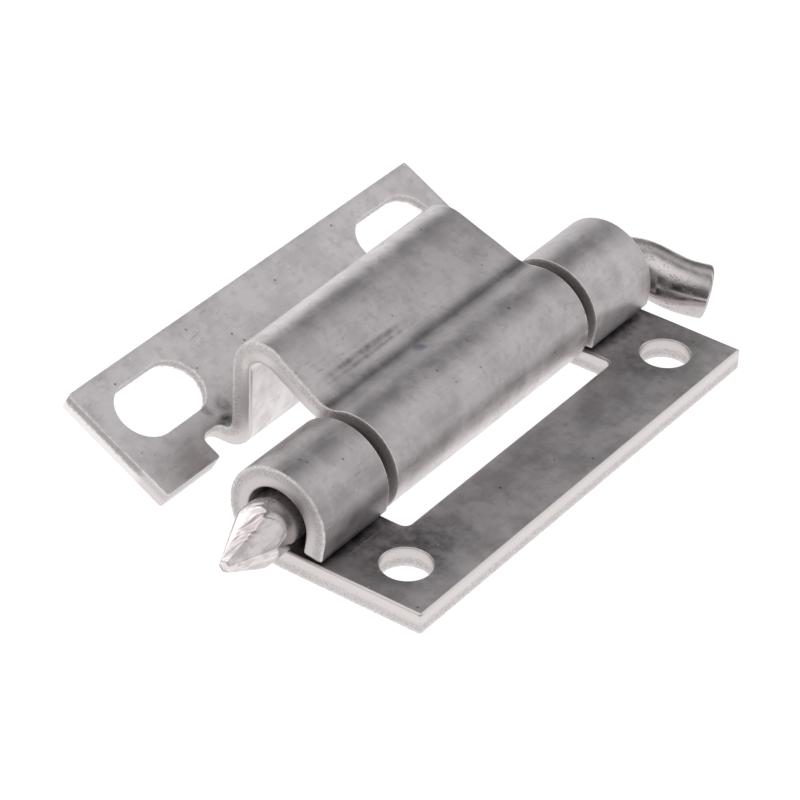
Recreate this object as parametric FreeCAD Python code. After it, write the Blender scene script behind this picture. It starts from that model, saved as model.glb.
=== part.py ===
import FreeCAD, Part
import math
import os

# Concealed hinge with a cranked leaf and a loose pin, in millimetres.
# The origin lies on the back of the frame leaf, midway between its two screw holes.
# +Z points out of the frame leaf, +Y runs along the pin to its cranked end, and the
# door leaf lies on the -X side.

Vector = FreeCAD.Vector
UP = Vector(0, 0, 1)
ALONG_PIN = Vector(0, 1, 0)

# Sheet and pin
SHEET = 2.4                # both leaves are pressed from the same sheet
PIN_D = 6.2                # round bar
ROLL_PLAY = 0.4            # by how much a roll's inside radius exceeds the pin's
FRAME_CLEARANCE = 0.10     # between the pin and the bottom of the frame leaf's roll
DOOR_CLEARANCE = 0.04      # between the pin and the nearest side of the door leaf's roll
EDGE_BEVEL = 0.2           # where the punch rolls the edges over, on the side that turns inwards

# Frame leaf
FRAME_LENGTH = 60.0        # along the pin
FRAME_REACH = 18.1         # pin axis to outer edge
KNUCKLE_LENGTH = 11.0      # each of the two knuckles
WINDOW_EDGE = 8.4          # pin axis to the far side of the window
WINDOW_CORNER_R = 0.8
SCREW_EDGE = 6.05          # line of the screws to outer edge
SCREW_END = 5.9            # each screw to its end of the leaf
SCREW_HOLE_D = 5.5
OPEN_PLAY = 0.6            # as ROLL_PLAY, past the top of the roll, where it stands open
OPEN_TURN = 97.0
TAIL_GAP = 0.52            # between the roll's straight end and the plate

# Door leaf, as it lies with its plate level
END_STEP = 0.35            # by how much each end falls short of the frame leaf's
PLATE_DROP = 9.7           # pin axis to the upper face of the plate
TAB_PAST_BEND = 2.9        # how far the end tabs reach past the foot's bend line
SLOT_FROM_BEND = 6.0       # bend line to the line of the slots
SLOT_EDGE = 6.0            # line of the slots to outer edge
SLOT_END = 2.55            # each slot to its end of the leaf
SLOT_LENGTH = 12.0
SLOT_WIDTH = 7.0
SIDE_GAP = 1.4             # between the middle knuckle and each frame knuckle
RELIEF_WIDTH = 3.3         # notch on each side of the crank's foot
RELIEF_CORNER_R = 1.0
RELIEF_PAST_BEND = 0.1     # how far the notch runs past the bend line
DOOR_ROLL_ANGLE = 87.5     # direction from the pin axis to the centre of the roll
DOOR_ROLL_END = 135.0      # where round the roll the neck leaves it
DOOR_ROLL_OPENING = 41.0   # turn that the roll lacks of a full round
NECK_INNER_R = 3.4         # hollow bend between the knuckle and the hump
HUMP_RUN = 5.8             # flat part of the hump
HUMP_RISE = 4.0            # slope of that flat, up to the crest, in degrees
CREST_INNER_R = 1.5        # inside radius of the hump's outer bend
LEG_LEAN = 28.0            # lean of the leg from upright, inwards at its foot
FOOT_INNER_R = 1.0         # inside radius where the leg meets the plate

# Pin ends
TIP_PROJECTION = 7.7       # past the front knuckle
TIP_WIDTH = 2.2            # of the blunt edge at the very end
TIP_THICKNESS = 1.0
TIP_WIDTH_SLOPE = 22.0     # of the two faces that the edge is wide between
TIP_THICKNESS_SLOPE = 16.0
TIP_TURN = 51.0            # direction of the edge, from +X towards +Z
CRANK_START = 0.65         # where the bend starts, inside the rear knuckle
CRANK_INNER_R = 1.7        # inside of the bend
CRANK_SPLAY = 15.0         # what the bend lacks of a right angle
CRANK_REACH = 10.4         # pin axis to the middle of the cut end
CRANK_DROOP = 14.2         # turn of the cranked end about the axis, down from level
CRANK_EDGE = 0.3

CUT_PAST = 1.0             # how far each cutter runs past the sheet
SAME_PLACE = 1e-5

PIN_R = PIN_D / 2
ROLL_R = PIN_R + ROLL_PLAY + SHEET / 2   # to the middle of the sheet
OPEN_R = PIN_R + OPEN_PLAY + SHEET / 2
CRANK_R = PIN_R + CRANK_INNER_R
PIN_HEIGHT = PIN_R + FRAME_CLEARANCE + SHEET
SCREW_REACH = FRAME_REACH - SCREW_EDGE
FRONT = -FRAME_LENGTH / 2
WINDOW_LENGTH = FRAME_LENGTH - 2 * KNUCKLE_LENGTH
DOOR_LENGTH = FRAME_LENGTH - 2 * END_STEP
STRIP_WIDTH = WINDOW_LENGTH - 2 * SIDE_GAP


def polar(angle, radius):
    """A vector in the X-Z plane, with its angle counted from +X towards +Z."""
    turn = math.radians(angle)
    return Vector(radius * math.cos(turn), 0, radius * math.sin(turn))


def arc(centre, radius, angle, turn):
    """An arc in the X-Z plane, from one angle through a turn."""
    points = [centre + polar(angle + turn * share, radius) for share in (0, 0.5, 1)]
    return Part.Arc(*points).toShape()


def side_line(start, heading, moves, offset):
    """A line beside a middle line of runs and bends in the X-Z plane, offset to its left.

    Each move is a length with no turn, or a radius with a turn in degrees, which is
    positive to the left. Gives the line's edges and the point where the middle line ends.
    """
    here = start
    edges = []
    for size, turn in moves:
        if turn == 0:
            there = here + polar(heading, size)
            aside = polar(heading + 90, offset)
            edges.append(Part.LineSegment(here + aside, there + aside).toShape())
        else:
            hand = math.copysign(1, turn)
            centre = here + polar(heading + 90 * hand, size)
            spoke = heading - 90 * hand
            edges.append(arc(centre, size - offset * hand, spoke, turn))
            there = centre + polar(spoke + turn, size)
            heading += turn
        here = there
    return edges, here


def strip(left_side, right_side, width):
    """Sheet between its two sides' lines, as wide as asked along Y, about Y = 0."""
    ends = []
    for index in (0, -1):
        corners = [side[index].Vertexes[index].Point for side in (left_side, right_side)]
        ends.append(Part.LineSegment(*corners).toShape())
    outline = Part.Wire(Part.__sortEdges__(left_side + right_side + ends))
    face = Part.Face(outline)
    face.translate(Vector(0, -width / 2, 0))
    return face.extrude(Vector(0, width, 0))


def lies_on(face, line):
    """Whether every corner of a face, seen along Y, is on a line in the X-Z plane."""
    corners = [Part.Vertex(Vector(corner.X, 0, corner.Z)) for corner in face.Vertexes]
    return all(line.distToShape(corner)[0] < SAME_PLACE for corner in corners)


def rolled_over(sheet, side):
    """Bevels the edges between the punched walls and the side that the punch enters.

    That side is given by its edges in the X-Z plane.
    """
    line = Part.Compound(side)
    rims = []
    for edge in sheet.Edges:
        on_side = [lies_on(face, line) for face in sheet.ancestorsOfType(edge, Part.Face)]
        if on_side.count(True) == 1 and on_side.count(False) == 1:
            rims.append(edge)
    return sheet.makeChamfer(EDGE_BEVEL, rims)


def box(x_from, x_to, y_from, y_to, z_from, z_to):
    corner = Vector(x_from, y_from, z_from)
    return Part.makeBox(x_to - x_from, y_to - y_from, z_to - z_from, corner)


def upright_edges(shape, x):
    """The edges along Z that stand at a given X."""
    return [
        edge for edge in shape.Edges
        if abs(edge.CenterOfMass.x - x) < SAME_PLACE
        and abs(edge.tangentAt(edge.FirstParameter).dot(UP)) > 1 - SAME_PLACE
    ]


def drill(x, y, diameter, z_from, z_to):
    return Part.makeCylinder(diameter / 2, z_to - z_from, Vector(x, y, z_from), UP)


def obround(x, y, length, width, z_from, z_to):
    """A slot cutter with round ends, its long way along Y."""
    reach = (length - width) / 2
    middle = box(x - width / 2, x + width / 2, y - reach, y + reach, z_from, z_to)
    ends = [drill(x, y + side * reach, width, z_from, z_to) for side in (-1, 1)]
    return middle.fuse(ends).removeSplitter()


def make_frame_leaf():
    """Plate, two knuckles rolled over from its inner edge, window and screw holes.

    It is built with the pin axis at X = Z = 0.
    """
    plate_bottom = -PIN_HEIGHT
    plate_top = plate_bottom + SHEET
    start = Vector(FRAME_REACH, 0, plate_bottom + SHEET / 2)
    open_turn = math.radians(OPEN_TURN)
    tail_top = plate_bottom + SHEET / 2 + 2 * ROLL_R - OPEN_R * (1 - math.cos(open_turn))
    tail = (tail_top - plate_top - TAIL_GAP) / math.sin(open_turn)
    moves = [
        (FRAME_REACH, 0),
        (ROLL_R, -180),
        (OPEN_R, -OPEN_TURN),
        (tail, 0),
    ]
    back, _ = side_line(start, 180, moves, SHEET / 2)
    inner, _ = side_line(start, 180, moves, -SHEET / 2)
    leaf = strip(back, inner, FRAME_LENGTH)
    beyond = 2 * OPEN_R
    window = box(-beyond, WINDOW_EDGE, -WINDOW_LENGTH / 2, WINDOW_LENGTH / 2, -beyond, beyond)
    window = window.makeFillet(WINDOW_CORNER_R, upright_edges(window, WINDOW_EDGE))
    screw_y = FRAME_LENGTH / 2 - SCREW_END
    holes = [
        drill(SCREW_REACH, side * screw_y, SCREW_HOLE_D, plate_bottom - CUT_PAST, plate_top + CUT_PAST)
        for side in (-1, 1)
    ]
    return rolled_over(leaf.cut([window] + holes), inner)


def crank():
    """Middle knuckle, neck, hump, leg and foot as one strip, with the pin axis at X = Z = 0.

    Gives the solid, its inner side, and the X of the bend line, where the foot has come level.
    """
    knuckle_angle = DOOR_ROLL_END + DOOR_ROLL_OPENING
    centre = polar(DOOR_ROLL_ANGLE, ROLL_PLAY - DOOR_CLEARANCE)
    start = centre + polar(knuckle_angle, ROLL_R)
    neck_heading = DOOR_ROLL_END + 90
    hump_heading = 180 - HUMP_RISE
    leg_heading = 270 + LEG_LEAN
    foot_turn = leg_heading - 180
    foot_r = FOOT_INNER_R + SHEET / 2
    to_leg = [
        (ROLL_R, 360 - DOOR_ROLL_OPENING),
        (NECK_INNER_R + SHEET / 2, hump_heading - neck_heading),
        (HUMP_RUN, 0),
        (CREST_INNER_R + SHEET / 2, leg_heading - hump_heading),
    ]
    start_heading = knuckle_angle + 90 - 360
    _, leg_top = side_line(start, start_heading, to_leg, 0)
    foot_drop = foot_r * (1 - math.cos(math.radians(foot_turn)))
    drop = leg_top.z + PLATE_DROP + SHEET / 2 - foot_drop
    leg_run = drop / math.cos(math.radians(LEG_LEAN))
    moves = to_leg + [(leg_run, 0), (foot_r, -foot_turn)]
    inner, foot = side_line(start, start_heading, moves, SHEET / 2)
    outer, _ = side_line(start, start_heading, moves, -SHEET / 2)
    return strip(inner, outer, STRIP_WIDTH), inner, foot.x


def make_level_door_leaf():
    """Crank and plate with its tabs, notches and slots. Gives the solid and the tabs' inner edge."""
    crank_solid, inner, bend_x = crank()
    plate_top = -PLATE_DROP
    plate_bottom = plate_top - SHEET
    half_length = DOOR_LENGTH / 2
    half_strip = STRIP_WIDTH / 2
    slot_x = bend_x - SLOT_FROM_BEND
    slot_y = half_length - SLOT_END - SLOT_LENGTH / 2
    tab_x = bend_x + TAB_PAST_BEND
    edge_x = slot_x - SLOT_EDGE
    plate = box(edge_x, tab_x, -half_length, half_length, plate_bottom, plate_top)
    underside = Part.LineSegment(Vector(edge_x, 0, plate_bottom), Vector(tab_x, 0, plate_bottom))
    cut_bottom = plate_bottom - CUT_PAST
    cut_top = plate_top + CUT_PAST
    relief_x = bend_x - RELIEF_PAST_BEND
    tab_y = half_strip + RELIEF_WIDTH
    relief = box(relief_x, tab_x + CUT_PAST, -tab_y, tab_y, cut_bottom, cut_top)
    relief = relief.makeFillet(RELIEF_CORNER_R, upright_edges(relief, relief_x))
    root = box(relief_x - RELIEF_CORNER_R, bend_x, -half_strip, half_strip, plate_bottom, plate_top)
    slots = [
        obround(slot_x, side * slot_y, SLOT_LENGTH, SLOT_WIDTH, cut_bottom, cut_top)
        for side in (-1, 1)
    ]
    leaf = plate.cut([relief] + slots).fuse([root, crank_solid]).removeSplitter()
    return rolled_over(leaf, inner + [underside.toShape()]), tab_x


def resting_turn(tab_x):
    """Turn of the door leaf about the pin that stands its tabs level with the frame leaf's back.

    The tabs stand on the lower corners of their bevelled ends.
    """
    across = EDGE_BEVEL - tab_x
    down = PLATE_DROP + SHEET
    slope = math.atan2(down, across)
    return math.degrees(slope - math.asin(PIN_HEIGHT / math.hypot(down, across)))


def make_door_leaf():
    leaf, tab_x = make_level_door_leaf()
    turn = resting_turn(tab_x)
    leaf.rotate(Vector(0, 0, 0), ALONG_PIN, turn)
    print("door leaf rests at", round(turn, 3), "degrees")
    return leaf


def tip_form(tip_y, length):
    """The tapered form that four pinched faces leave: a blunt edge that widens both ways along +Y."""
    half_width = TIP_WIDTH / 2
    half_thickness = TIP_THICKNESS / 2
    far_width = half_width + length * math.tan(math.radians(TIP_WIDTH_SLOPE))
    far_thickness = half_thickness + length * math.tan(math.radians(TIP_THICKNESS_SLOPE))
    form = Part.makeWedge(
        -half_width, tip_y, -half_thickness, -far_thickness, -far_width,
        half_width, tip_y + length, half_thickness, far_thickness, far_width)
    form.rotate(Vector(0, 0, 0), ALONG_PIN, -TIP_TURN)
    return form


def edges_about(shape, centre):
    """The round edges that have their centre at a given point."""
    return [edge for edge in shape.Edges if edge.CenterOfMass.distanceToPoint(centre) < SAME_PLACE]


def make_pin():
    """Round bar with a pinched point in front and a cranked end behind, axis at X = Z = 0."""
    tip_y = FRONT - TIP_PROJECTION
    tip = Vector(0, tip_y, 0)
    bend_y = FRAME_LENGTH / 2 - CRANK_START
    bar = Part.makeCylinder(PIN_R, bend_y - tip_y, tip, ALONG_PIN)
    bar = bar.common(tip_form(tip_y, bend_y - tip_y))

    bend_turn = 90 - CRANK_SPLAY
    turn = math.radians(bend_turn)
    section = Part.Face(Part.Wire(Part.makeCircle(PIN_R, Vector(0, bend_y, 0), ALONG_PIN)))
    bend = section.revolve(Vector(CRANK_R, bend_y, 0), -UP, bend_turn)
    bend_end = Vector(CRANK_R * (1 - math.cos(turn)), bend_y + CRANK_R * math.sin(turn), 0)
    outward = Vector(math.sin(turn), math.cos(turn), 0)
    arm_length = (CRANK_REACH - bend_end.x) / outward.x
    arm = Part.makeCylinder(PIN_R, arm_length, bend_end, outward)
    arm = arm.makeChamfer(CRANK_EDGE, edges_about(arm, bend_end + outward * arm_length))
    cranked_end = bend.fuse(arm)
    cranked_end.rotate(Vector(0, 0, 0), ALONG_PIN, CRANK_DROOP)
    return bar.fuse(cranked_end).removeSplitter()


def main():
    os.makedirs("parts", exist_ok=True)
    pieces = {
        "frame_leaf": make_frame_leaf(),
        "door_leaf": make_door_leaf(),
        "hinge_pin": make_pin(),
    }
    for name, shape in pieces.items():
        shape.translate(Vector(-SCREW_REACH, 0, PIN_HEIGHT))
        shape.exportStep("parts/" + name + ".step")
        size = shape.BoundBox
        print(name, "solids", len(shape.Solids), "valid", shape.isValid(),
              "volume", round(shape.Volume, 1),
              "x", round(size.XMin, 2), round(size.XMax, 2),
              "y", round(size.YMin, 2), round(size.YMax, 2),
              "z", round(size.ZMin, 2), round(size.ZMax, 2))


main()
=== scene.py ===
import math

import bpy
import numpy as np
from mathutils import Matrix, Vector
from mathutils.geometry import delaunay_2d_cdt


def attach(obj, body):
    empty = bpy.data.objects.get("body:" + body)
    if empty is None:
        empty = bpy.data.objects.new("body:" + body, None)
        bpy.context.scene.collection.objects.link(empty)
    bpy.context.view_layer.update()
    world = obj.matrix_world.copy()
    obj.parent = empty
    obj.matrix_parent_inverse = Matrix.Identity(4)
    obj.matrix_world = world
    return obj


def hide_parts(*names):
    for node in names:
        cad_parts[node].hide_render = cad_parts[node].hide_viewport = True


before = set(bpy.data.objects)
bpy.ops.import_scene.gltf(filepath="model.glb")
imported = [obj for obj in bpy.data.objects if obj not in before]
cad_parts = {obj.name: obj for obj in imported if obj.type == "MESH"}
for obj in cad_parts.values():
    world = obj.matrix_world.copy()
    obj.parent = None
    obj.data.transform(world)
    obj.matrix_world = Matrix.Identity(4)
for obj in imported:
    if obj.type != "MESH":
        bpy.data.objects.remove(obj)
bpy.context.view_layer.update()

# Sizes are in millimetres, as on a drawing, and meshes are scaled to metres when they are made.
# A sheet's points are (s, y, t): s along its line, y across it and t through it.
MM = 0.001

# Sheet and pin
SHEET = 2.4
PIN_R = 3.1
BORE_GAP = 0.4
OPEN_GAP = 0.6
PIN_LIFT = 0.1
ROLL_R = PIN_R + BORE_GAP + SHEET / 2
OPEN_R = PIN_R + OPEN_GAP + SHEET / 2
PIN_HEIGHT = PIN_R + PIN_LIFT + SHEET

# Frame leaf, from its outer edge to the pin axis and round it
FRAME_REACH = 18.1
FRAME_HALF = 30.0
WINDOW_HALF = 19.0
WINDOW_EDGE = 8.4
WINDOW_CORNER_R = 0.8
SCREW_REACH = 12.05
SCREW_Y = 24.1
SCREW_R = 2.75
OPEN_TURN = 97.0
TAIL_GAP = 0.52
TAIL_CORNER_R = 0.6

# Door leaf, from its knuckle over the hump to its slotted plate
DOOR_ROLL_ANGLE = 87.5
DOOR_ROLL_OFFSET = 0.36
DOOR_ROLL_END = 135.0
DOOR_ROLL_OPENING = 41.0
STRIP_HALF = 17.6
NECK_R = 3.4 + SHEET / 2
HUMP_RUN = 5.8
HUMP_RISE = 4.0
HUMP_TWIST = (-0.75, 0.0, -1.35)        # how far the hump leans off true at its rear end
CREST_R = 1.5 + SHEET / 2
LEG_LEAN = 28.0
FOOT_R = 1.0 + SHEET / 2
PLATE_DROP = 9.7
DOOR_HALF = 29.65
RELIEF_WIDTH = 3.3
RELIEF_CORNER_R = 1.0
RELIEF_PAST_BEND = 0.1
TAB_PAST_BEND = 2.9
TAB_Y = STRIP_HALF + RELIEF_WIDTH
TAB_MARGIN = 0.5        # how far inside the tabs' inner sides the sheet is already level with them
SLOT_FROM_BEND = 6.0
SLOT_EDGE = 6.0
SLOT_Y = 21.1
SLOT_HALF_LENGTH = 6.0
SLOT_HALF_WIDTH = 3.5
PLATE_LENGTH = SLOT_FROM_BEND + SLOT_EDGE
EDGE_BEVEL = 0.2

# Sheared edges: a punch rounds the side that it enters and leaves a sharp burr on the other
ROLLOVER = 0.32
BURR = 0.07
PUNCHED_SHARE = 0.4     # how round the edges of holes are, as a share of the outline's
CORNER_R = 0.33
SWELL = 0.35            # sideways swelling in a bend, as a share of its strain
SWELL_FADE = 1.1
SOFT_BEND = 1.0         # how far a bend's swelling fades in and out past its ends

# Fineness of the sheet meshes
OUTLINE_STEP = 0.3
GRID_STEP = 0.55
GRID_CLEARANCE = 0.9    # how many grid steps the grid keeps off an outline
ARC_ROWS = 6
STRAIGHT_STEPS = 6

# How bright the sheet is painted, mostly painted light and shade and partly duller metal: straight lines
# between pairs of a length and a brightness
RING_FADE = 2.0         # how gradually a leaf's look turns into its ring's
LEAF_TONES = (
    (0, 0.92), (5, 0.78), (FRAME_REACH - 5, 0.78), (FRAME_REACH, 0.93), (FRAME_REACH + RING_FADE, 0.86),
)
RING_TONE = 0.88
# Painted shade on the low side of the front ring
LOW_SIDE_TONES = ((0, 1.0), (4, 0.86), (6.5, 0.76), (9, 0.70))      # past the top of the front ring
# Painted light low on the knuckle, then painted shade in the valley between knuckle and hump
NECK_TONES = (                                                      # past the start of the neck
    (-10.1, 1.35), (-8.7, 1.30), (-8.1, 0.82), (-7.6, 0.70), (-7.0, 0.80), (-4.5, 0.80), (-1.0, 0.84),
    (0.3, 0.72), (1.6, 0.64), (1.95, 0.42), (2.25, 0.42), (2.6, 0.68), (3.6, 0.82), (5.0, 0.88),
)
# Painted shade round the crest, then painted light on the leg
CREST_TONES = ((-1.6, 0.86), (0.3, 0.68), (0.9, 0.84), (1.6, 1.15), (3.5, 1.15))    # past the crest
FOOT_TONES = ((0, 1.0), (1.0, 1.04))                                                # past the foot
# Painted light in the bores: the inner side of a bend is painted brighter
INNER_GAIN = 0.35       # how much brighter the inner side of a bend is left
RING_CUT_LOSS = 0.17    # how much darker the sheared ends of the rings are
SLOT_CUT_GAIN = 0.27    # how much brighter the walls of the slots are
SLOT_MARGIN = 0.3       # how far past a slot's outline its wall may lie
PLATE_FADE = 1.5        # how gradually the leg's cut edges turn into the plate's

# Pin ends
TIP_Y = -38.8
TIP_LENGTH = 8.6        # past here the bar is whole
TIP_FADE = 1.5
# Pinched faces: the way each one looks, from +X towards +Z, its distance from the axis at the end,
# and its slope
TIP_FACES = (
    (40.0, 0.75, 0.35), (103.0, 0.25, 0.42), (161.0, 0.20, 0.48),
    (221.0, 0.60, 0.42), (286.0, 1.05, 0.40), (351.0, 1.00, 0.40),
)
TIP_SHARPNESS = 34.0
# Waves that the dies dragged up: their depth, the way they look, how far they spread and how that
# grows, their turns round and along the bar, and how they wander
TIP_DRAG = 0.11
TIP_DRAG_AT = 84.0
TIP_DRAG_SPREAD = 0.35
TIP_DRAG_GROWTH = 0.06
TIP_WAVES_ROUND = 7
TIP_WAVES_ALONG = 3.1
TIP_WANDER = 1.2
TIP_WANDER_ALONG = 1.9
CRANK_START = 0.65
CRANK_R = PIN_R + 1.7
CRANK_TURN = 75.0
CRANK_REACH = 10.2
CRANK_DROOP = 14.2
CRANK_EDGE = 0.4
CRANK_SWAY = ((2, -4.8), (3, 10.0), (4, -4.6))      # powers of the share of the arm, and mm that each adds
PIN_ROWS = (150, 90, 40, 30, 8)         # rounds in the point, the straight, the bend, the arm and the edge
PIN_COLUMNS = 240

# Camera, fitted to the edges of the photographed hinge. Its place is in metres, its focal length in
# pixels of a picture of this size.
CAMERA_PLACE = (0.17068, -0.27528, 0.23504)
CAMERA_FORWARD = (-0.46348, 0.67549, -0.57349)
CAMERA_RIGHT = (0.80943, 0.58610, 0.03619)
CAMERA_FOCAL = 3805.1
PICTURE_SIZE = 800
SENSOR_WIDTH = 36.0

# Studio lights: the way to each, how wide it spreads in degrees, and how strong it is. Less than 0
# is a dark card. A face that runs along the pin, whichever way it is turned about the pin, shows
# the camera a direction whose Y is 0.675, so the first eight rows set how bright such faces look.
STUDIO_LEVEL = 0.23
STUDIO = (
    ((-0.722, 0.675, 0.153), 26, 0.79),
    ((-0.626, 0.675, 0.391), 26, 0.20),
    ((0.000, 0.675, 0.738), 26, 0.18),
    ((0.228, 0.675, 0.702), 26, 0.50),
    ((0.434, 0.675, 0.597), 26, 0.47),
    ((0.597, 0.675, 0.434), 26, 0.44),
    ((0.702, 0.675, 0.228), 26, 0.36),
    ((0.738, 0.675, 0.000), 26, 0.22),
    ((0.1, -0.3, 0.95), 42, 1.00),
    ((-1.0, -0.15, 0.35), 45, 0.35),
    ((1.0, -0.15, 0.35), 45, 0.21),
    ((-0.742, 0.191, 0.636), 24, 1.00),
    ((-0.5, -0.25, 0.83), 36, 0.60),
    ((-0.46, -0.83, 0.30), 34, 0.60),
    ((0.849, -0.02, 0.528), 30, 0.45),
    ((0.56, -0.80, 0.22), 50, -0.20),
)
TABLE_HALF = 3.0        # metres
TABLE_GLOW = 0.95

# Marks that handling and rolling left, and patches of painted shade: centre, half size, colour and strength
MARKS_AND_PAINTED_SHADE = (
    # Painted shade along the valley between the knuckle and the hump, with some dirt
    ((-17.45, -8.2, 12.5), (0.48, 9.8, 2.0), "565254", 0.55),
    ((-16.85, -8.6, 12.2), (0.32, 9.0, 2.0), "625e60", 0.42),
    ((-17.2, -8.4, 12.4), (1.00, 11.5, 2.0), "6f6b6c", 0.28),
    ((-16.3, -13.0, 11.9), (0.9, 4.0, 2.0), "777374", 0.30),
    ((-14.04, -2.89, 11.4), (1.05, 1.00, 1.2), "4c5a8a", 0.80),
    ((-19.3, -17.4, 13.9), (0.22, 0.30, 0.4), "3a3536", 0.9),
    ((-11.5, -27.0, 11.8), (0.18, 0.25, 0.4), "4a4546", 0.8),
    ((-10.1, -5.3, 11.5), (0.22, 0.20, 0.5), "55505a", 0.7),
    # Painted shade in the inside corner of the door leaf's foot
    ((-28.6, -16.9, 3.4), (1.0, 1.9, 2.0), "3f3b3c", 0.85),
    ((-30.0, -15.6, 4.0), (1.5, 1.2, 2.0), "5a5657", 0.60),
    ((-30.6, -17.9, 4.3), (1.9, 0.9, 2.0), "6b6768", 0.50),
    # Painted shade on the frame plate beside the rings and round the screw holes
    ((-7.4, -24.0, 2.4), (4.2, 8.0, 0.8), "3a3637", 0.72),
    ((-7.4, 24.5, 2.4), (4.2, 7.5, 0.8), "3a3637", 0.65),
    ((-1.0, -22.1, 2.4), (6.5, 9.5, 0.8), "5b5758", 0.70),
    ((-1.0, 22.1, 2.4), (6.5, 9.0, 0.8), "5b5758", 0.42),
)
CREASE = ((-5.4, -24.0, 2.4), (0.07, 4.4, 0.3), "e4dfde", 0.6)
TIP_NICK = ((-10.9, -37.7, 5.45), (0.4, 0.4, 0.4), "5b5556", 0.8)

# Where a sheared wall turns from smooth to torn, as a share of the thickness from the punched side
TORN = (0.40, 0.64)


def linear(hex_colour):
    """A linear RGBA colour from an sRGB hex string."""
    parts = [int(hex_colour[i:i + 2], 16) / 255 for i in (0, 2, 4)]
    return tuple(c / 12.92 if c < 0.04045 else ((c + 0.055) / 1.055) ** 2.4 for c in parts) + (1.0,)


def turned(angle):
    """A unit vector in the X-Z plane, its angle counted from +X towards +Z, in degrees."""
    return np.array((math.cos(math.radians(angle)), math.sin(math.radians(angle))))


def soft_step(value, low, high):
    """0 below low, 1 above high, and in between 3 u squared less 2 u cubed."""
    share = np.clip((value - low) / (high - low), 0, 1)
    return share * share * (3 - 2 * share)


def between(value, pairs):
    """Straight lines between pairs of a place and a height, and level outside them."""
    places, heights = zip(*pairs)
    return np.interp(value, places, heights)


def move_length(size, turn):
    """The length of a run, or the radius of a bend times its turn."""
    return size * abs(math.radians(turn)) if turn else size


def follow(start, heading, moves, lengths):
    """Points, left-hand normals and curvature at lengths along a line of runs and bends.

    The line lies in the X-Z plane. A run adds its length along the heading. A bend turns the point
    about a centre that lies one radius to its left or right, by the arc length divided by the
    radius. The curvature is one over the radius, positive to the left, with soft ends.
    """
    here = np.array(start, float)
    done = 0.0
    points = np.zeros((len(lengths), 2))
    normals = np.zeros((len(lengths), 2))
    curvature = np.zeros(len(lengths))
    for size, turn in moves:
        ahead = turned(heading)
        left = turned(heading + 90)
        length = move_length(size, turn)
        part = lengths >= done - 1e-9
        along = np.clip(lengths[part] - done, 0, length)[:, None]
        if turn:
            hand = math.copysign(1, turn)
            centre = here + left * size * hand
            angle = along / size
            points[part] = centre + size * (ahead * np.sin(angle) - left * hand * np.cos(angle))
            normals[part] = left * np.cos(angle) - ahead * hand * np.sin(angle)
            end = math.radians(abs(turn))
            here = centre + size * (ahead * math.sin(end) - left * hand * math.cos(end))
            heading += turn
            begun = soft_step(lengths, done - SOFT_BEND, done + SOFT_BEND)
            unended = soft_step(done + length - lengths, -SOFT_BEND, SOFT_BEND)
            curvature += begun * unended * hand / size
        else:
            points[part] = here + ahead * along
            normals[part] = left
            here = here + ahead * size
        done += length
    return points, normals, curvature


def outline(corners):
    """A closed outline through corners (s, y, radius), each rounded by an arc, in even steps.

    Gives the points and the directions out of the sheet, which lie to the right of the way round.
    """
    corners = np.array(corners, float)
    arcs = []
    for index, (s, y, radius) in enumerate(corners):
        here = np.array((s, y))
        before = here - corners[index - 1][:2]
        after = corners[(index + 1) % len(corners)][:2] - here
        before /= np.linalg.norm(before)
        after /= np.linalg.norm(after)
        bend = math.atan2(before[0] * after[1] - before[1] * after[0], before @ after)
        left = np.array((-before[1], before[0])) * math.copysign(1, bend)
        centre = here - before * radius * math.tan(abs(bend) / 2) + left * radius
        count = max(2, int(math.ceil(abs(bend) * radius / OUTLINE_STEP)) + 1)
        angle = np.linspace(0, abs(bend), count)[:, None]
        spokes = before * np.sin(angle) - left * np.cos(angle)
        arcs.append((centre + radius * spokes, spokes * math.copysign(1, bend)))
    points = []
    normals = []
    for index, (arc, outs) in enumerate(arcs):
        run = arcs[(index + 1) % len(arcs)][0][0] - arc[-1]
        distance = np.linalg.norm(run)
        if distance < 1e-6:
            points.append(arc[:-1])
            normals.append(outs[:-1])
            continue
        count = max(1, int(distance / OUTLINE_STEP))
        share = (np.arange(1, count) / count)[:, None]
        points += [arc, arc[-1] + run * share]
        normals += [outs, np.repeat(np.array(((run[1], -run[0]),)) / distance, count - 1, 0)]
    return np.concatenate(points), np.concatenate(normals)


def hole(centre_s, centre_y, half_s, half_y):
    """A round hole or a slot: an outline the other way round, its corners as round as it is wide."""
    sides = ((-1, -1), (-1, 1), (1, 1), (1, -1))
    return outline([(centre_s + s * half_s, centre_y + y * half_y, half_s) for s, y in sides])


def inside(points, loops):
    """Even-odd rule: a ray from a point in the sheet crosses the outlines an odd number of times."""
    crossings = np.zeros(len(points), int)
    for loop, _ in loops:
        end = np.roll(loop, -1, 0)
        y = points[:, 1][:, None]
        spans = (loop[:, 1] > y) != (end[:, 1] > y)
        rise = np.where(end[:, 1] == loop[:, 1], 1.0, end[:, 1] - loop[:, 1])
        at = loop[:, 0] + (y - loop[:, 1]) / rise * (end[:, 0] - loop[:, 0])
        crossings += np.sum(spans & (points[:, 0][:, None] < at), 1)
    return crossings % 2 == 1


def nearest(points, outline_points):
    """Distance from each point to the closest outline point, worked out in chunks to save memory."""
    outline_points = outline_points.astype(np.float32)
    points = points.astype(np.float32)
    away = np.empty(len(points), np.float32)
    chunk_size = 2000
    for first in range(0, len(points), chunk_size):
        chunk = points[first:first + chunk_size]
        gaps = chunk[:, None] - outline_points[None]
        away[first:first + chunk_size] = np.hypot(gaps[:, :, 0], gaps[:, :, 1]).min(1)
    return away


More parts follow.
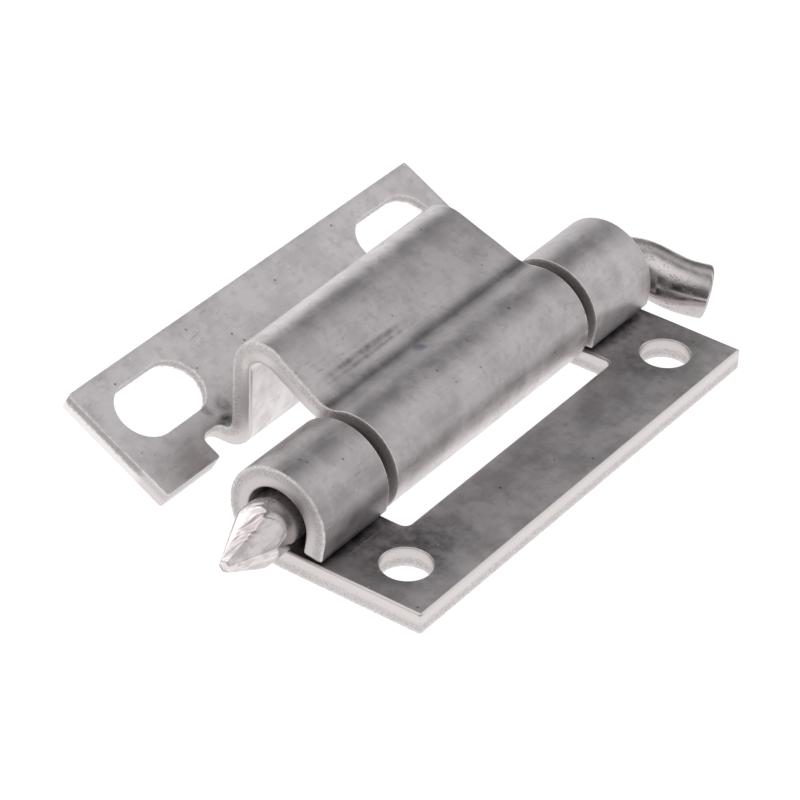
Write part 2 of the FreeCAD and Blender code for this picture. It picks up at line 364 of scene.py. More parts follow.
def grid_within(loops):
    """The points of an even grid that lie in the sheet, clear of its outlines, and how far in they lie."""
    outline_points = np.concatenate([loop for loop, _ in loops])
    low = outline_points.min(0)
    high = outline_points.max(0)
    grid_s, grid_y = np.meshgrid(
        np.arange(low[0], high[0], GRID_STEP), np.arange(low[1], high[1], GRID_STEP), indexing="ij")
    grid = np.stack((grid_s.ravel(), grid_y.ravel()), 1)
    away = nearest(grid, outline_points)
    keep = inside(grid, loops) & (away > GRID_STEP * GRID_CLEARANCE)
    return grid[keep], away[keep]


def next_points(loops):
    """For each outline point, the number of the point that follows it on its own outline."""
    following = []
    first = 0
    for loop, _ in loops:
        following.append((np.arange(len(loop)) + 1) % len(loop) + first)
        first += len(loop)
    return np.concatenate(following)


def triangles_between(loops, following, grid):
    """Triangles between the outlines and the grid points, without those that lie in a hole."""
    flat = np.concatenate([loop for loop, _ in loops] + [grid])
    edges = list(enumerate(following.tolist()))
    _, _, triangles, origin, _, _ = delaunay_2d_cdt(
        [Vector(point) for point in flat.tolist()], edges, [], 0, 1e-7)
    source = np.array([where[0] for where in origin])
    triangles = source[np.array(triangles)]
    return triangles[inside(flat[triangles].mean(1), loops)]


def wall_rows(low_round, high_round):
    """How far in each row of a wall lies, and its height: a quarter circle, a straight, a quarter circle."""
    half = SHEET / 2
    quarter = np.linspace(0, math.pi / 2, ARC_ROWS)
    rows = [(low_round * (1 - math.sin(a)), low_round * (1 - math.cos(a)) - half) for a in quarter]
    for up in np.linspace(0, 1, STRAIGHT_STEPS + 1)[1:-1]:
        rows.append((0 * low_round, (low_round - half) * (1 - up) + (half - high_round) * up))
    rows += [(high_round * (1 - math.cos(a)), half - high_round * (1 - math.sin(a))) for a in quarter]
    return rows


def blank(loops, low_radius, high_radius):
    """The flat blank as it leaves the press: (s, y, t) points, faces and what each point is.

    Both faces carry the same triangles, between the outlines and an even grid. The wall joins them
    in rows. Each row is the outline moved in by what a quarter circle leaves at that height.
    The first loop is the outline. The others are holes, with smaller quarter circles.
    """
    shares = [PUNCHED_SHARE if index else 1.0 for index in range(len(loops))]
    share = np.concatenate([np.full(len(loop), one) for one, (loop, _) in zip(shares, loops)])
    inset = (low_radius + high_radius) / 2
    drawn_in = [(loop - out * (inset * one), out) for one, (loop, out) in zip(shares, loops)]
    grid, away = grid_within(loops)
    following = next_points(loops)
    triangles = triangles_between(drawn_in, following, grid)

    outline_points = np.concatenate([loop for loop, _ in loops])
    outs = np.concatenate([out for _, out in loops])
    rows = wall_rows(low_radius * share, high_radius * share)
    layers = [np.column_stack((outline_points - outs * inwards[:, None], t)) for inwards, t in rows]
    layers += [np.column_stack((grid, np.full(len(grid), t))) for t in (-SHEET / 2, SHEET / 2)]

    count = len(outline_points)
    last_row = count * (len(rows) - 1)
    on_outline = triangles < count
    below = np.where(on_outline, triangles, triangles + last_row)
    above = np.where(on_outline, triangles, triangles + len(grid)) + last_row
    index = np.arange(count)
    quads = [
        np.stack((index + here, following + here, following + here + count, index + here + count), 1)
        for here in range(0, last_row, count)
    ]
    faces = below[:, ::-1].tolist() + above.tolist() + np.concatenate(quads).tolist()
    on_wall = [np.full(count, float(0 < row < len(rows) - 1)) for row in range(len(rows))]
    marks = {
        "cut": np.concatenate(on_wall + [np.zeros(2 * len(grid))]),
        "rim": np.concatenate((np.zeros(count * len(rows)), away, away)),
    }
    return np.concatenate(layers), faces, marks


def pressed(points, start, heading, moves, sides):
    """Carries the flat blank (s, y, t) along a line of runs and bends: s along it and t across it.

    Where it bends, each side swells on the hollow face and draws in on the outer face, by the
    curvature times the height times SWELL, and that fades with the distance from the side.
    A side is given by its distance from Y = 0, and +1 where the sheet lies within it.
    """
    line, normals, curvature = follow(start, heading, moves, points[:, 0])
    placed = np.empty_like(points)
    placed[:, 0] = line[:, 0] + normals[:, 0] * points[:, 2]
    placed[:, 1] = points[:, 1]
    placed[:, 2] = line[:, 1] + normals[:, 1] * points[:, 2]
    for side, outward in sides:
        fade = np.exp(-np.abs(np.abs(points[:, 1]) - side) / SWELL_FADE)
        placed[:, 1] += outward * np.sign(points[:, 1]) * curvature * points[:, 2] * SWELL * fade
    return placed


def add_object(name, data):
    """Puts a mesh or a camera in the scene as an object."""
    item = bpy.data.objects.new(name, data)
    bpy.context.scene.collection.objects.link(item)
    return item


def make_piece(name, points, faces, marks, body, node, material):
    """A smooth-shaded mesh of points in millimetres, with one value per point for each mark."""
    mesh = bpy.data.meshes.new(name)
    mesh.from_pydata((points * MM).tolist(), [], faces)
    for mark, values in marks.items():
        attribute = mesh.attributes.new(mark, "FLOAT", "POINT")
        attribute.data.foreach_set("value", np.ascontiguousarray(values, np.float32))
    mesh.polygons.foreach_set("use_smooth", np.ones(len(mesh.polygons), bool))
    mesh.update()
    mesh.materials.append(material)
    piece = add_object(name, mesh)
    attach(piece, body)
    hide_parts(node)
    return piece


def about_pin(points, turn):
    """Turns points about the pin axis, from +Z towards +X in radians, and sets them in the hinge's frame."""
    placed = points.copy()
    placed[:, 0] = points[:, 0] * math.cos(turn) + points[:, 2] * math.sin(turn) - SCREW_REACH
    placed[:, 2] = points[:, 2] * math.cos(turn) - points[:, 0] * math.sin(turn) + PIN_HEIGHT
    return placed


def frame_line():
    """The frame leaf's runs and bends, from its outer edge round the roll to its tail."""
    turn = math.radians(OPEN_TURN)
    tail_top = SHEET / 2 + 2 * ROLL_R - OPEN_R * (1 - math.cos(turn))
    tail = (tail_top - SHEET - TAIL_GAP) / math.sin(turn)
    return [(FRAME_REACH, 0), (ROLL_R, -180.0), (OPEN_R, -OPEN_TURN), (tail, 0)]


def frame_outlines(total):
    """The frame leaf's blank: a U with round inner corners, and two screw holes."""
    window = FRAME_REACH - WINDOW_EDGE
    loops = [outline([
        (0, -FRAME_HALF, CORNER_R), (total, -FRAME_HALF, CORNER_R),
        (total, -WINDOW_HALF, CORNER_R), (window, -WINDOW_HALF, WINDOW_CORNER_R),
        (window, WINDOW_HALF, WINDOW_CORNER_R), (total, WINDOW_HALF, CORNER_R),
        (total, FRAME_HALF, CORNER_R), (0, FRAME_HALF, CORNER_R),
    ])]
    return loops + [hole(FRAME_REACH - SCREW_REACH, side * SCREW_Y, SCREW_R, SCREW_R) for side in (-1, 1)]


def wear_tail_corner(points, total):
    """Draws the outer corner of each arm's end back to an arc.

    A point past the arc's start on both sides is moved by the longer side divided by the distance.
    """
    past = points[:, (0, 2)] - (total - TAIL_CORNER_R, SHEET / 2 - TAIL_CORNER_R)
    at_corner = (past > 0).all(1)
    onto_arc = past.max(1) / np.maximum(np.hypot(past[:, 0], past[:, 1]), 1e-6)
    points[np.ix_(at_corner, (0, 2))] += (past * (onto_arc[:, None] - 1))[at_corner]


def frame_tones(points, top):
    """How bright the frame leaf is painted, as painted light and shade: darker on the rings, most on the low
    side of the front one, and lighter in the bores.
    """
    s = points[:, 0]
    leaf = between(s, LEAF_TONES + ((top, RING_TONE),))
    low_side = np.where(points[:, 1] < 0, between(s - top, LOW_SIDE_TONES), 1.0)
    return leaf * low_side * (1 + INNER_GAIN * (points[:, 2] < 0) * (s > top / 2))


def frame_leaf(material):
    """The flat leaf: a U-shaped blank whose two arms are rolled over into knuckles."""
    moves = frame_line()
    total = sum(move_length(*move) for move in moves)
    points, faces, marks = blank(frame_outlines(total), ROLLOVER, BURR)
    wear_tail_corner(points, total)
    start = (FRAME_REACH, -PIN_HEIGHT + SHEET / 2)
    rolled = pressed(points, start, 180, moves, ((FRAME_HALF, 1), (WINDOW_HALF, -1)))
    s = points[:, 0]
    marks["depth"] = 0.5 + points[:, 2] / SHEET
    marks["plate"] = np.zeros(len(points))
    marks["cut_tone"] = 1 - RING_CUT_LOSS * soft_step(s, FRAME_REACH, FRAME_REACH + RING_FADE)
    # Painted light and shade along the leaf, and painted light in the bores
    marks["painted_light_and_rub"] = frame_tones(points, FRAME_REACH + move_length(ROLL_R, 180))
    on_bore = points[:, 2] < 0.01 - SHEET / 2
    marks["matt"] = soft_step(s, FRAME_REACH - RING_FADE, FRAME_REACH) * on_bore
    return make_piece("frame_leaf_pressed", about_pin(rolled, 0), faces, marks,
                      "frame", "frame_leaf", material)


def door_line():
    """The door leaf's start, heading, runs and bends, and the lengths at its neck, crest, leg and foot."""
    knuckle_angle = DOOR_ROLL_END + DOOR_ROLL_OPENING
    start = turned(DOOR_ROLL_ANGLE) * DOOR_ROLL_OFFSET + turned(knuckle_angle) * ROLL_R
    heading = knuckle_angle + 90 - 360
    neck_turn = 180 - HUMP_RISE - DOOR_ROLL_END - 90
    crest_turn = 270 + LEG_LEAN - 180 + HUMP_RISE
    foot_turn = 90 + LEG_LEAN
    moves = [(ROLL_R, 360 - DOOR_ROLL_OPENING), (NECK_R, neck_turn), (HUMP_RUN, 0), (CREST_R, crest_turn)]
    leg_at = sum(move_length(*move) for move in moves)
    leg_top, _, _ = follow(start, heading, moves, np.array([leg_at]))
    drop = leg_top[0, 1] + PLATE_DROP + SHEET / 2 - FOOT_R * (1 - math.cos(math.radians(foot_turn)))
    leg = drop / math.cos(math.radians(LEG_LEAN))
    moves += [(leg, 0), (FOOT_R, -foot_turn), (PLATE_LENGTH, 0)]
    crest_at = leg_at - move_length(CREST_R, crest_turn)
    neck_at = crest_at - HUMP_RUN - move_length(NECK_R, neck_turn)
    foot_at = leg_at + leg + move_length(FOOT_R, foot_turn)
    return start, heading, moves, (neck_at, crest_at, leg, foot_at)


def door_outlines(foot_at):
    """The door leaf's blank: a T with round reliefs beside the crank, and two slots along its bar."""
    root = foot_at + RELIEF_PAST_BEND
    tab_end = foot_at - TAB_PAST_BEND
    end = foot_at + PLATE_LENGTH
    half_outline = [
        (0, -STRIP_HALF, CORNER_R), (root, -STRIP_HALF, RELIEF_CORNER_R), (root, -TAB_Y, RELIEF_CORNER_R),
        (tab_end, -TAB_Y, CORNER_R), (tab_end, -DOOR_HALF, CORNER_R), (end, -DOOR_HALF, CORNER_R),
    ]
    slot_at = foot_at + SLOT_FROM_BEND
    loops = [outline(half_outline + [(s, -y, radius) for s, y, radius in half_outline[::-1]])]
    return loops + [
        hole(slot_at, side * SLOT_Y, SLOT_HALF_WIDTH, SLOT_HALF_LENGTH) for side in (-1, 1)]


def door_marks(points, marks, stations):
    """What each point of the door leaf is: its depth, its part and how bright it is painted, mostly as
    painted light and shade.
    """
    neck_at, crest_at, _, foot_at = stations
    s, y, t = points.T
    marks["depth"] = 0.5 - t / SHEET
    marks["plate"] = soft_step(s, foot_at, foot_at + PLATE_FADE)
    in_slot = (np.abs(s - foot_at - SLOT_FROM_BEND) < SLOT_HALF_WIDTH + SLOT_MARGIN) & (
        np.abs(np.abs(y) - SLOT_Y) < SLOT_HALF_LENGTH + SLOT_MARGIN)
    marks["cut_tone"] = 1 + SLOT_CUT_GAIN * in_slot
    tones = [
        (at + past, left)
        for at, pairs in ((neck_at, NECK_TONES), (crest_at, CREST_TONES), (foot_at, FOOT_TONES))
        for past, left in pairs
    ]
    # Painted light and shade along the crank, and painted light on the inner side of its bends
    marks["painted_light_and_rub"] = between(s, tones) * (1 + INNER_GAIN * (t > 0))
    marks["matt"] = np.zeros(len(points))


def door_leaf(material):
    """The cranked leaf: a T-shaped blank, rolled, humped and bent down to its slotted plate.

    The hump's lean grows evenly from its front end to its rear end. The tabs beside the crank stay
    level with the plate, so they run back from the bend line. The leaf is turned until they stand on
    the floor.
    """
    start, heading, moves, stations = door_line()
    _, crest_at, leg, foot_at = stations
    points, faces, marks = blank(door_outlines(foot_at), BURR, ROLLOVER)
    s, y, t = points.T
    level = pressed(points, start, heading, moves, ((STRIP_HALF, 1),))
    over_hump = soft_step(s, crest_at - HUMP_RUN - 1, crest_at + 1) * soft_step(foot_at - s, 0, leg)
    to_rear = (y + STRIP_HALF) / (2 * STRIP_HALF)
    level += np.array(HUMP_TWIST) * (over_hump * to_rear)[:, None]
    bend_line, _, _ = follow(start, heading, moves, np.array([foot_at]))
    bend_x = bend_line[0, 0]
    tabs = np.abs(y) > TAB_Y - TAB_MARGIN
    level[tabs, 0] = bend_x - (s[tabs] - foot_at)
    level[tabs, 1] = y[tabs]
    level[tabs, 2] = -PLATE_DROP - SHEET / 2 - t[tabs]
    door_marks(points, marks, stations)
    across = EDGE_BEVEL - bend_x - TAB_PAST_BEND
    down = PLATE_DROP + SHEET
    rest = math.atan2(down, across) - math.asin(PIN_HEIGHT / math.hypot(down, across))
    return make_piece("door_leaf_pressed", about_pin(level, rest), faces, marks,
                      "door", "door_leaf", material)


def pin_radius(v, angle, total, droop):
    """The pin's radius by length and by angle about its axis.

    At the point the section is the smallest of the round and six flats. A flat's radius is its
    distance from the axis, which grows evenly from the end, divided by the cosine of the angle off
    the way it looks. The smallest is taken softly: one over the radius is the sum of the others' ones
    to a high power, brought back by that power's root. Beside the edge where the dies met, the
    distance has waves a tenth of a millimetre deep. The other end is rounded off by a quarter circle.
    """
    spread = TIP_DRAG_SPREAD * (1 + TIP_DRAG_GROWTH * v)
    beside = np.exp(-((angle - math.radians(TIP_DRAG_AT) - droop) / spread) ** 2)
    waves = np.sin(TIP_WAVES_ROUND * angle + TIP_WAVES_ALONG * v + TIP_WANDER * np.sin(TIP_WANDER_ALONG * v))
    drag = TIP_DRAG * beside * waves * soft_step(v, 0.1, 1.2)
    nearness = PIN_R ** -TIP_SHARPNESS
    for looks, end_distance, slope in TIP_FACES:
        facing = np.maximum(np.cos(angle - math.radians(looks) - droop), 1e-2)
        nearness = nearness + (facing / (end_distance + slope * v + drag)) ** TIP_SHARPNESS
    section = nearness ** (-1 / TIP_SHARPNESS)
    whole = np.clip((v - TIP_LENGTH + TIP_FADE) / TIP_FADE, 0, 1)
    into_edge = np.clip(v - total + CRANK_EDGE, 0, CRANK_EDGE)
    round_end = np.sqrt(CRANK_EDGE ** 2 - into_edge ** 2) - CRANK_EDGE
    return np.where(v < TIP_LENGTH, section * (1 - whole) + PIN_R * whole, PIN_R) + round_end


def pin(material):
    """The loose pin: rounds carried along a straight, a bend and a short arm.

    The arm sways forth and back by a sum of powers of its length, and every round stays square to
    it. Both ends are closed by a fan of faces.
    """
    bend_turn = math.radians(CRANK_TURN)
    reach = (CRANK_REACH - CRANK_R * (1 - math.cos(bend_turn))) / math.sin(bend_turn)
    droop = math.radians(CRANK_DROOP)
    straight = FRAME_HALF - CRANK_START - TIP_Y
    bend_end = straight + CRANK_R * bend_turn
    total = bend_end + reach
    ends = (0, TIP_LENGTH, straight, bend_end, total - CRANK_EDGE, total)
    spans = [np.linspace(first, last, rows)[1:] for first, last, rows in zip(ends, ends[1:], PIN_ROWS)]
    lengths = np.concatenate([[0.0]] + spans)
    around = np.linspace(0, 2 * math.pi, PIN_COLUMNS, endpoint=False)
    v, angle = np.meshgrid(lengths, around, indexing="ij")
    radius = pin_radius(v, angle, total, droop)

    turn = np.clip((v - straight) / CRANK_R, 0, bend_turn)
    past = np.maximum(v - bend_end, 0)
    share = past / reach
    sway = sum(amount * share ** power for power, amount in CRANK_SWAY)
    swing = sum(amount * power * share ** (power - 1) for power, amount in CRANK_SWAY) / reach
    centre_x = CRANK_R * (1 - np.cos(turn)) + past * np.sin(turn) - sway * np.cos(turn)
    centre_y = (TIP_Y + np.minimum(v, straight) + CRANK_R * np.sin(turn)
                + past * np.cos(turn) + sway * np.sin(turn))
    out = radius * np.cos(angle)
    square = turn - np.arctan(swing)
    points = np.stack((
        centre_x + out * np.cos(square), centre_y - out * np.sin(square), radius * np.sin(angle)), 2)
    rows, columns = v.shape
    points = points.reshape(-1, 3)
    index = np.arange(rows * columns).reshape(rows, columns)
    after = np.roll(index, -1, 1)
    quads = np.stack((index[:-1], index[1:], after[1:], after[:-1]), 2).reshape(-1, 4)
    caps = np.array([points[index[0]].mean(0), points[index[-1]].mean(0)])
    first_fan = np.stack((np.full(columns, rows * columns), index[0], after[0]), 1)
    last_fan = np.stack((np.full(columns, rows * columns + 1), after[-1], index[-1]), 1)
    faces = quads.tolist() + first_fan.tolist() + last_fan.tolist()
    points = np.concatenate((points, caps))
    pinched = soft_step(PIN_R - radius, 0.02, 0.10) * (v < TIP_LENGTH)
    marks = {"pinched": np.concatenate((pinched.reshape(-1), (1.0, 0)))}
    return make_piece("hinge_pin_drawn", about_pin(points, droop), faces, marks,
                      "pin", "hinge_pin", material)


def add(tree, kind, inputs=None, **settings):
    """Adds one node, sets its own settings, and joins or fills its inputs by name or number."""
    node = tree.nodes.new("ShaderNode" + kind)
    for name, value in settings.items():
        setattr(node, name, value)
    for name, value in (inputs or {}).items():
        if isinstance(value, bpy.types.NodeSocket):
            tree.links.new(value, node.inputs[name])
        else:
            node.inputs[name].default_value = value
    return node


def mark_of(tree, name):
    """The value that each point of a piece carries under a name."""
    return add(tree, "Attribute", attribute_name=name).outputs["Fac"]


def ramp(tree, value, low, high, to_low=0.0, to_high=1.0):
    """Carries a value smoothly from one range to another."""
    return add(tree, "MapRange", {"Value": value, 1: low, 2: high, 3: to_low, 4: to_high},
               interpolation_type="SMOOTHSTEP").outputs[0]


def reckon(tree, operation, first, second):
    """One sum, product or larger value of two numbers."""
    return add(tree, "Math", {0: first, 1: second}, operation=operation).outputs[0]


def times(tree, first, second):
    """The product of two numbers."""
    return reckon(tree, "MULTIPLY", first, second)


def scaled(tree, vector, amount):
    """A vector or a colour times a number."""
    return add(tree, "VectorMath", {0: vector, "Scale": amount}, operation="SCALE").outputs[0]


def combined(tree, operation, first, second):
    """The sum, difference or quotient of two vectors."""
    return add(tree, "VectorMath", {0: first, 1: second}, operation=operation).outputs[0]


def mixed(tree, amount, first, second):
    """A number between two numbers."""
    return add(tree, "Mix", {0: amount, 2: first, 3: second}, data_type="FLOAT").outputs[0]


def over(tree, colour, amount, top):
    """Lays a colour over another by an amount."""
    return add(tree, "Mix", {0: amount, 6: colour, 7: top}, data_type="RGBA").outputs[2]


def noise(tree, place, size, detail=3.0, stretch=None, turn=0.0):
    """Noise with features of a size in millimetres, which may be stretched and turned about Z."""
    if stretch:
        place = add(tree, "Mapping", {
            "Vector": place, "Rotation": (0, 0, math.radians(turn)), "Scale": stretch}).outputs[0]
    return add(tree, "TexNoise", {
        "Vector": place, "Scale": 1 / (size * MM), "Detail": detail, "Roughness": 0.6}).outputs["Fac"]


def specks(tree, place, spacing):
    """Distance from the nearest of a scatter of points, which lie a spacing in millimetres apart."""
    return add(tree, "TexVoronoi", {"Vector": place, "Scale": 1 / (spacing * MM)}).outputs["Distance"]


def mark_at(tree, place, centre, half_size, edge):
    """1 within an ellipsoid about a point, in millimetres, and 0 outside, from a share of its size on."""
    offset = combined(tree, "SUBTRACT", place, tuple(c * MM for c in centre))
    offset = combined(tree, "DIVIDE", offset, tuple(h * MM for h in half_size))
    length = add(tree, "VectorMath", {0: offset}, operation="LENGTH").outputs["Value"]
    return ramp(tree, length, edge, 1.0, 1.0, 0.0)


def painted(tree, colour, place, mark, edge, uneven=None):
    """Lays one row of marks over a colour, by its strength or, where that is uneven, by a pattern."""
    centre, half_size, tint, strength = mark
    amount = mark_at(tree, place, centre, half_size, edge)
    amount = times(tree, amount, strength if uneven is None else uneven)
    return over(tree, colour, amount, linear(tint))


def new_material(name):
    """An empty material, its nodes and its shader."""
    material = bpy.data.materials.new(name)
    material.use_nodes = True
    tree = material.node_tree
    return material, tree, tree.nodes["Principled BSDF"]


def dress(tree, shader, colour, roughness, height, bump_distance):
    """Joins a colour, a roughness and a relief of so many millimetres to the shader."""
    bump = add(tree, "Bump", {"Height": height, "Strength": 0.4, "Distance": bump_distance * MM})
    tree.links.new(colour, shader.inputs["Base Color"])
    tree.links.new(roughness, shader.inputs["Roughness"])
    tree.links.new(bump.outputs[0], shader.inputs["Normal"])


def sheet_patterns(tree, place):
    """The patterns on the sheet, with the size of their features in millimetres."""
    wander = add(tree, "TexNoise", {"Vector": place, "Scale": 1 / (0.5 * MM)}).outputs["Color"]
    wavy = combined(tree, "ADD", place, scaled(tree, wander, 0.4 * MM))
    return {
        "cloud": noise(tree, place, 3.6, 4.0),
        "mottle": noise(tree, place, 1.1),
        "streaks": noise(tree, place, 0.35, 3.0, (1.0, 0.05, 1.0)),
        "scuffs": noise(tree, place, 0.26, 1.0, (1.0, 0.10, 1.0), 38.0),
        "cross_scuffs": noise(tree, place, 0.30, 1.0, (1.0, 0.14, 1.0), -22.0),
        "scuffed": noise(tree, place, 7.0, 1.0),
        "grit": noise(tree, place, 0.13),
        "ragged": noise(tree, place, 0.40),
        "pits": specks(tree, wavy, 2.9),
        "nicks": specks(tree, wavy, 3.7),
    }


def rolled_face(tree, place, pattern):
    """The sheet's faces: clouded grey with rolling streaks, the known marks and patches of painted shade,
    scuffs, pits and nicks.
    """
    cloud = ramp(tree, pattern["cloud"], 0.34, 0.66)
    colour = over(tree, linear("b2adae"), cloud, linear("cdc8c9"))
    mottle = ramp(tree, pattern["mottle"], 0.52, 0.68, 0.0, 0.36)
    colour = over(tree, colour, mottle, linear("a49c9d"))
    streaks = ramp(tree, pattern["streaks"], 0.35, 0.75, 0.0, 0.16)
    colour = over(tree, colour, streaks, linear("dcd8d8"))
    # The listed marks, and the patches of painted shade
    for patch in MARKS_AND_PAINTED_SHADE:
        strength = patch[3]
        uneven = ramp(tree, pattern["mottle"], 0.3, 0.65, strength * 0.5, strength * 1.1)
        colour = painted(tree, colour, place, patch, 0.2, uneven)
    colour = painted(tree, colour, place, CREASE, 0.5)
    light_scuffs = times(tree, ramp(tree, pattern["scuffs"], 0.68, 0.74),
                         ramp(tree, pattern["scuffed"], 0.48, 0.62, 0.0, 0.4))
    colour = over(tree, colour, light_scuffs, linear("e2dddd"))
    dark_scuffs = times(tree, ramp(tree, pattern["cross_scuffs"], 0.68, 0.74),
                        ramp(tree, pattern["scuffed"], 0.40, 0.52, 0.4, 0.0))
    colour = over(tree, colour, dark_scuffs, linear("8a8485"))
    colour = over(tree, colour, ramp(tree, pattern["pits"], 0.03, 0.07, 0.75, 0.0), linear("514c52"))
    return over(tree, colour, ramp(tree, pattern["nicks"], 0.018, 0.035, 0.8, 0.0), linear("f4f2f2"))


def sheared_wall(tree, grit, torn, plate):
    """The sheared walls: smooth and bright, then torn and grainy. On the plate the two differ more."""
    smooth_cut = over(tree, linear("d3cdcc"), plate, linear("e6e2e2"))
    torn_light = over(tree, linear("d8d3d3"), plate, linear("b8b2b3"))
    torn_dark = over(tree, linear("bab4b3"), plate, linear("938d8e"))
    torn_cut = over(tree, torn_dark, ramp(tree, grit, 0.38, 0.62), torn_light)
    return over(tree, smooth_cut, torn, torn_cut)


def with_burr_highlight(tree, colour, ragged, cut, rim, depth):
    """Lays a painted highlight along the ragged burr over a colour: a thin bright line on the far face's rim
    and on the wall's far edge.
    """
    on_face = times(tree, ramp(tree, rim, 0.03, 0.12, 1.0, 0.0), ramp(tree, depth, 0.80, 0.95))
    on_wall = times(tree, ramp(tree, depth, 0.95, 1.0), cut)
    burr_glint = reckon(tree, "MAXIMUM", on_face, on_wall)
    broken_glint = times(tree, burr_glint, ramp(tree, ragged, 0.35, 0.65, 0.20, 0.60))
    return over(tree, colour, broken_glint, linear("f0ecec"))


def stainless_sheet():
    """Stainless sheet, cold rolled and tumbled: a satin grey with faint rolling streaks, scuffs and pits.

    The bends carry painted light and shade, partly duller metal where the dies rub them, and the bores
    are painted lighter and keep a matt skin from the rolling, so that their insides are grey and not black.
    The faces carry painted shade beside the rings and in the creases. The sheared walls are bright and
    smooth near the side that the punch entered. The rest broke away, and is grainy up to a thin ragged
    burr, along which a bright line is painted as its highlight.
    """
    material, tree, shader = new_material("stainless_sheet_tumbled")
    place = add(tree, "TexCoord").outputs["Object"]
    pattern = sheet_patterns(tree, place)
    cut = mark_of(tree, "cut")
    depth = mark_of(tree, "depth")
    uneven_depth = reckon(tree, "ADD", ramp(tree, pattern["ragged"], 0.25, 0.75, -0.06, 0.06), depth)

    # Painted light and shade: the faces are scaled by the brightness painted along the bends
    face = scaled(tree, rolled_face(tree, place, pattern), mark_of(tree, "painted_light_and_rub"))
    wall = sheared_wall(tree, pattern["grit"], ramp(tree, uneven_depth, *TORN), mark_of(tree, "plate"))
    wall = scaled(tree, wall, mark_of(tree, "cut_tone"))
    colour = over(tree, face, cut, wall)
    # Painted highlight along the burr edges
    colour = with_burr_highlight(tree, colour, pattern["ragged"], cut, mark_of(tree, "rim"), depth)

    face_rough = ramp(tree, pattern["cloud"], 0.3, 0.7, 0.36, 0.46)
    wall_rough = ramp(tree, uneven_depth, *TORN, 0.36, 0.52)
    face_height = reckon(tree, "ADD", times(tree, pattern["streaks"], 0.22),
                         times(tree, pattern["mottle"], 0.25))
    wall_height = times(tree, pattern["grit"], ramp(tree, uneven_depth, *TORN, 0.10, 0.6))
    tree.links.new(ramp(tree, mark_of(tree, "matt"), 0.0, 1.0, 1.0, 0.3), shader.inputs["Metallic"])
    dress(tree, shader, colour, mixed(tree, cut, face_rough, wall_rough),
          mixed(tree, cut, face_height, wall_height), 0.05)
    return material


def stainless_bar():
    """Stainless bar, drawn, then pinched and cropped: shinier than the sheet, with dull scuffs.

    The pinched faces keep the dies' drag waves and look pale and slightly pink.
    """
    material, tree, shader = new_material("stainless_bar_drawn")
    place = add(tree, "TexCoord").outputs["Object"]
    pinched = mark_of(tree, "pinched")
    cloud = noise(tree, place, 2.2, 4.0)
    grit = noise(tree, place, 0.22, 4.0)
    drawn = noise(tree, place, 0.30, 2.0, (1.0, 0.06, 1.0))
    waves = noise(tree, place, 1.3, 2.0, (1.0, 0.30, 1.0), -25.0)

    colour = over(tree, linear("b6b0b0"), ramp(tree, cloud, 0.35, 0.65), linear("ccc5c5"))
    scuffed = times(tree, ramp(tree, grit, 0.50, 0.60), ramp(tree, cloud, 0.50, 0.62, 0.0, 0.6))
    colour = over(tree, colour, scuffed, linear("6a6465"))
    pinched_colour = over(tree, linear("c6bdbd"), ramp(tree, waves, 0.4, 0.6), linear("dfd8d8"))
    colour = over(tree, colour, pinched, pinched_colour)
    colour = painted(tree, colour, place, TIP_NICK, 0.3)
    roughness = mixed(tree, pinched, ramp(tree, cloud, 0.35, 0.65, 0.16, 0.30), 0.22)
    relief = mixed(tree, pinched, times(tree, drawn, 0.4), times(tree, waves, 0.6))
    height = reckon(tree, "ADD", relief, times(tree, scuffed, -0.6))
    shader.inputs["Metallic"].default_value = 1.0
    dress(tree, shader, colour, roughness, height, 0.06)
    return material


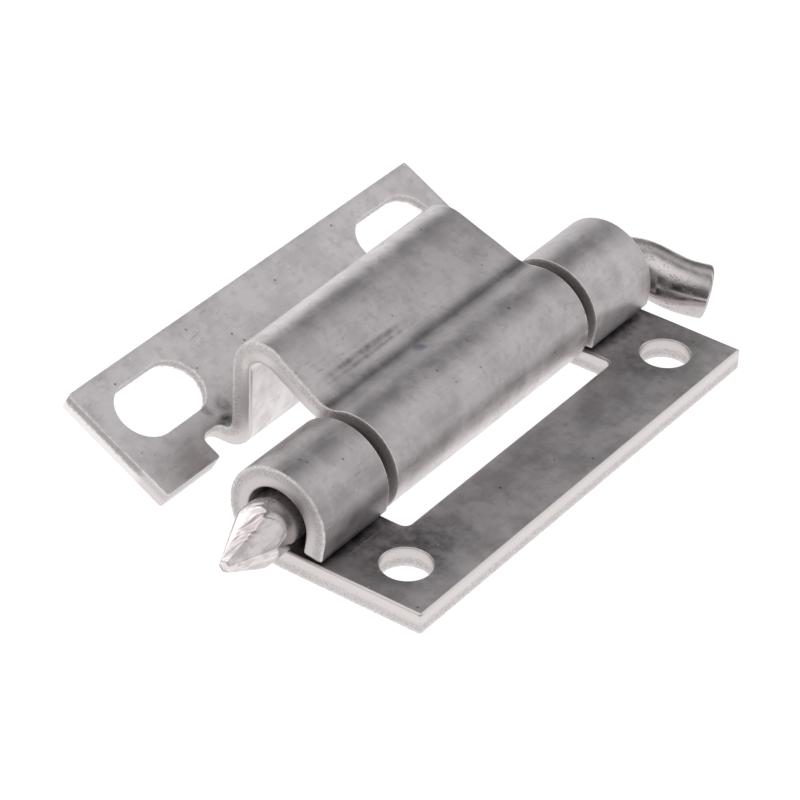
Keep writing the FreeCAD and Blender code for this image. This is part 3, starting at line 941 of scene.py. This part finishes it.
def table_top():
    """A light table of white acrylic, lit from below, as a cut-out product picture is taken on."""
    material, _, shader = new_material("light_table_acrylic")
    shader.inputs["Base Color"].default_value = linear("808080")
    shader.inputs["Roughness"].default_value = 0.6
    shader.inputs["Emission Color"].default_value = (1, 1, 1, 1)
    shader.inputs["Emission Strength"].default_value = TABLE_GLOW
    mesh = bpy.data.meshes.new("table")
    corners = [(x * TABLE_HALF, y * TABLE_HALF, 0) for x, y in ((-1, -1), (1, -1), (1, 1), (-1, 1))]
    mesh.from_pydata(corners, [], [(0, 1, 2, 3)])
    mesh.materials.append(material)
    floor = add_object("table", mesh)


def studio():
    """A studio of soft lights, given as brightness by direction: each row of STUDIO adds one glow."""
    world = bpy.data.worlds.new("studio")
    bpy.context.scene.world = world
    world.use_nodes = True
    tree = world.node_tree
    background = tree.nodes["Background"]
    direction = add(tree, "TexCoord").outputs["Generated"]
    total = STUDIO_LEVEL
    for towards, width, amount in STUDIO:
        size = math.sqrt(sum(c * c for c in towards))
        unit = tuple(c / size for c in towards)
        facing = add(tree, "VectorMath", {0: direction, 1: unit}, operation="DOT_PRODUCT").outputs["Value"]
        glow = ramp(tree, facing, math.cos(math.radians(width)), 1.0, 0.0, amount)
        total = reckon(tree, "ADD", glow, total)
    tree.links.new(total, background.inputs["Strength"])
    background.inputs["Color"].default_value = (1, 1, 1, 1)


def camera():
    """The camera that was fitted to the edges of the photographed hinge."""
    data = bpy.data.cameras.new("camera")
    data.sensor_width = SENSOR_WIDTH
    data.lens = CAMERA_FOCAL / PICTURE_SIZE * SENSOR_WIDTH
    data.clip_start = 0.01
    data.clip_end = 20.0
    forward = Vector(CAMERA_FORWARD).normalized()
    right = Vector(CAMERA_RIGHT)
    right = (right - forward * right.dot(forward)).normalized()
    up = right.cross(forward)
    turn = Matrix((right, up, -forward)).transposed()
    viewer = add_object("camera", data)
    viewer.matrix_world = Matrix.Translation(CAMERA_PLACE) @ turn.to_4x4()
    bpy.context.scene.camera = viewer


def main():
    """Makes the camera, the three pieces, the table and the lights."""
    camera()
    sheet = stainless_sheet()
    frame_leaf(sheet)
    door_leaf(sheet)
    pin(stainless_bar())
    table_top()
    studio()
    bpy.context.scene.view_settings.view_transform = "Standard"


main()
